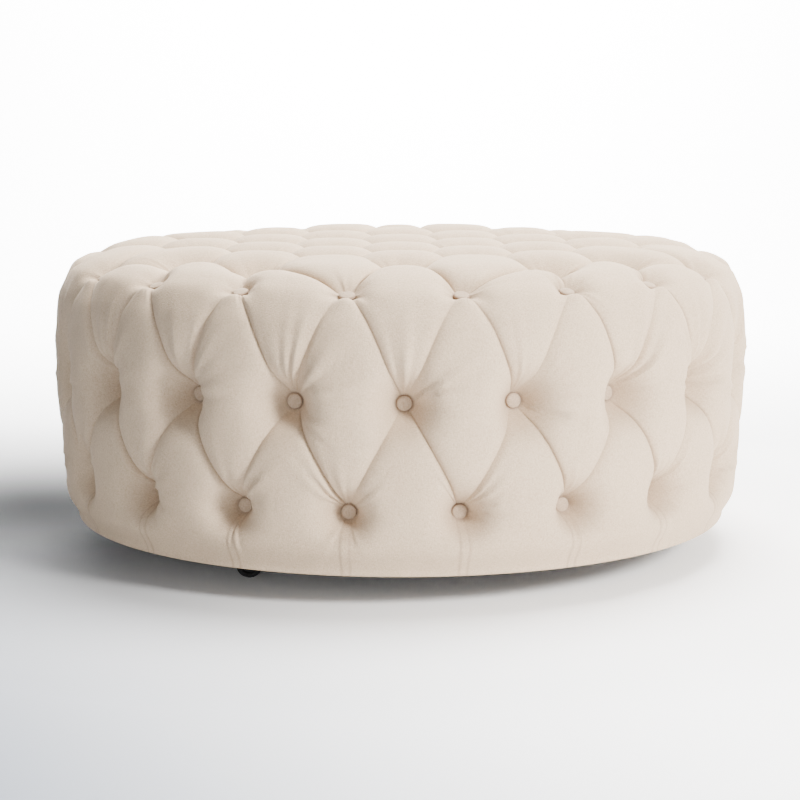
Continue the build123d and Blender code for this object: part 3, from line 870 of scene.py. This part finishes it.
def studio_floor():
    """A floor that sweeps up into the backdrop."""
    floor = Finish("studio floor")
    axes = floor.node("ShaderNodeSeparateXYZ", Vector=floor.place)
    # Painted shade: the floor grows darker towards the left front, where its light falls off.
    painted_falloff = 1.0 + PAINTED_FALLOFF_X * axes.out("X") + PAINTED_FALLOFF_Y * axes.out("Y")
    tone = eased(floor.node("ShaderNodeClamp", Value=painted_falloff).out(0))
    paper_with_painted_falloff = floor.mix(tone, PAPER_PAINTED_SHADE, PAPER_LIGHT)
    # Painted shadow: a dark patch on the floor to the left of the ottoman.
    shade = eased(round_falloff(floor, Location=(SHADE_X / SHADE_WIDTH, SHADE_Y / SHADE_DEPTH, 0),
                                Scale=(1 / SHADE_WIDTH, 1 / SHADE_DEPTH, 1)))
    colour = floor.mix(shade, paper_with_painted_falloff, SHADE_COLOUR)
    far = 1.0 - round_falloff(floor, Scale=(GLOW_SCALE, GLOW_SCALE, GLOW_SCALE))
    glow = floor.mix(far * far * far, (0, 0, 0, 1), colour)
    material = floor.link(Base_Color=colour, Emission_Color=glow, Emission_Strength=GLOW_STRENGTH,
                          Roughness=0.95, Specular_IOR_Level=0.1)
    line = [(FLOOR_FRONT, 0.0), (FLOOR_BACK, 0.0)]
    line += [(FLOOR_BACK + SWEEP * math.sin(turn), SWEEP * (1 - math.cos(turn)))
             for turn in np.linspace(0.1, math.pi / 2, SWEEP_STEPS)]
    line.append((FLOOR_BACK + SWEEP, BACKDROP_TOP))
    points = [(x, y, z) for x in (-FLOOR_HALF_WIDTH, FLOOR_HALF_WIDTH) for y, z in line]
    faces = [(i, i + len(line), i + len(line) + 1, i + 1) for i in range(len(line) - 1)]
    obj = mesh_object("studio_floor", points, faces)
    obj.data.shade_smooth()
    obj.data.materials.append(material)


def area_light(name, place, target, size, power, colour):
    lamp = bpy.data.lights.new(name, "AREA")
    lamp.shape, lamp.size, lamp.energy, lamp.color = "DISK", size, power, colour
    obj = bpy.data.objects.new(name, lamp)
    obj.location = place
    obj.rotation_euler = (Vector(target) - Vector(place)).to_track_quat("-Z", "Y").to_euler()
    scene.collection.objects.link(obj)


def studio_camera():
    lens = bpy.data.cameras.new("camera")
    lens.lens, lens.sensor_width = LENS, SENSOR
    lens.shift_x = AIM_SHIFT
    obj = bpy.data.objects.new("camera", lens)
    turn = math.radians(CAMERA_YAW)
    obj.location = (-CAMERA_DISTANCE * math.sin(turn), -CAMERA_DISTANCE * math.cos(turn), CAMERA_HEIGHT)
    obj.rotation_euler = (math.radians(90 - CAMERA_PITCH), 0, -turn)
    scene.collection.objects.link(obj)
    scene.camera = obj
    return obj


world = bpy.data.worlds.new("studio")
world.use_nodes = True
sky = world.node_tree.nodes["Background"]
sky.inputs["Color"].default_value = SKY_COLOUR
sky.inputs["Strength"].default_value = SKY_STRENGTH
scene.world = world
studio_floor()
area_light("key", (2.5, -2.7, 1.9), (0, 0, 0.2), 0.9, 350, (1.0, 0.985, 0.96))
area_light("above", (0.6, 0.5, 3.4), (0, 0, 0.3), 2.2, 430, (1.0, 0.99, 0.98))
area_light("front", (-2.0, -3.2, 1.0), (0, 0, 0.2), 1.6, 40, (1.0, 0.99, 0.98))
area_light("backdrop", (0.0, 1.9, 3.8), (0, 5.4, 2.8), 2.5, 2300, (1.0, 1.0, 1.0))
CAMERA = studio_camera()
print("camera at", tuple(round(value, 3) for value in CAMERA.location))
